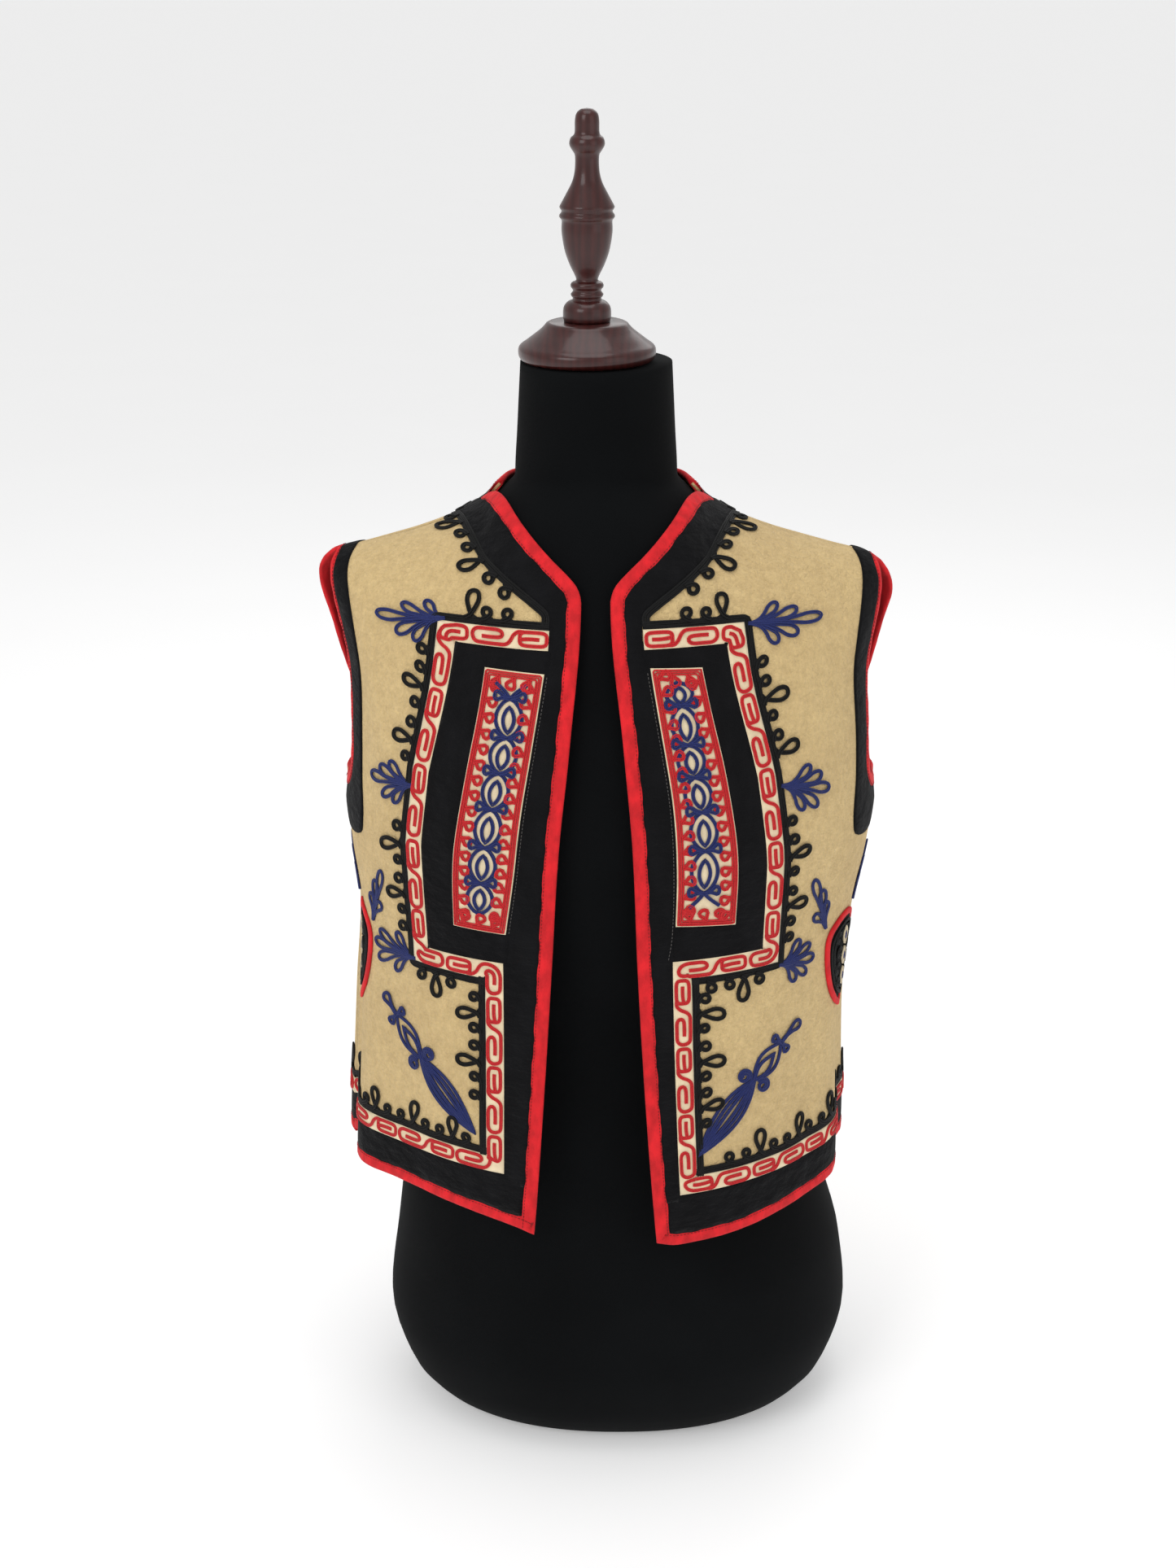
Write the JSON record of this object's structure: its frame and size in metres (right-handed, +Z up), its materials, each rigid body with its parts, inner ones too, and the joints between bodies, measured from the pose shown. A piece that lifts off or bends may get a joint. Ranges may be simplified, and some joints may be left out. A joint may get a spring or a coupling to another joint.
{
  "type": "embroidered folk vest on dress form",
  "caption": "Open-fronted folk vest of pale felt with black velvet bands, red binding, braided strips and shield patches, worn by a limbless dress form with a turned wooden finial.",
  "frame": {"origin": "on the floor at the middle of the dress form's flat base, on the vest's own centre line", "axes": "+Z up from the floor to the finial, -Y out of the vest's open front, +X towards the wearer's left"},
  "size_m": [0.3918, 0.2746, 0.926],
  "materials": {
    "felt": "matte woollen felt",
    "velvet": "black cut pile",
    "red_cloth": "plain weave binding",
    "braided_strip": "cream strip worked with red cord",
    "jersey": "fine black knit",
    "wood": "dark gloss varnish"
  },
  "bodies": {
    "root": {"form_torso": "jersey", "form_neck_plate": "wood", "form_finial": "wood", "front_right": "felt", "front_left": "felt", "back": "felt", "binding_front_right": "red_cloth", "binding_front_left": "red_cloth", "binding_back_hem": "red_cloth", "binding_back_neck": "red_cloth", "binding_armhole_right": "red_cloth", "binding_armhole_left": "red_cloth", "binding_shield_right": "red_cloth", "binding_shield_left": "red_cloth", "velvet_armhole_right": "velvet", "velvet_armhole_left": "velvet", "velvet_edge_right": "velvet", "velvet_edge_left": "velvet", "velvet_frame_right": "velvet", "velvet_frame_left": "velvet", "velvet_hem": "velvet", "velvet_back_neck": "velvet", "shield_right": "velvet", "shield_left": "velvet", "braid_right": "braided_strip", "braid_left": "braided_strip", "braid_back": "braided_strip", "insert_right": "braided_strip", "insert_left": "braided_strip"}
  },
  "joints": []
}
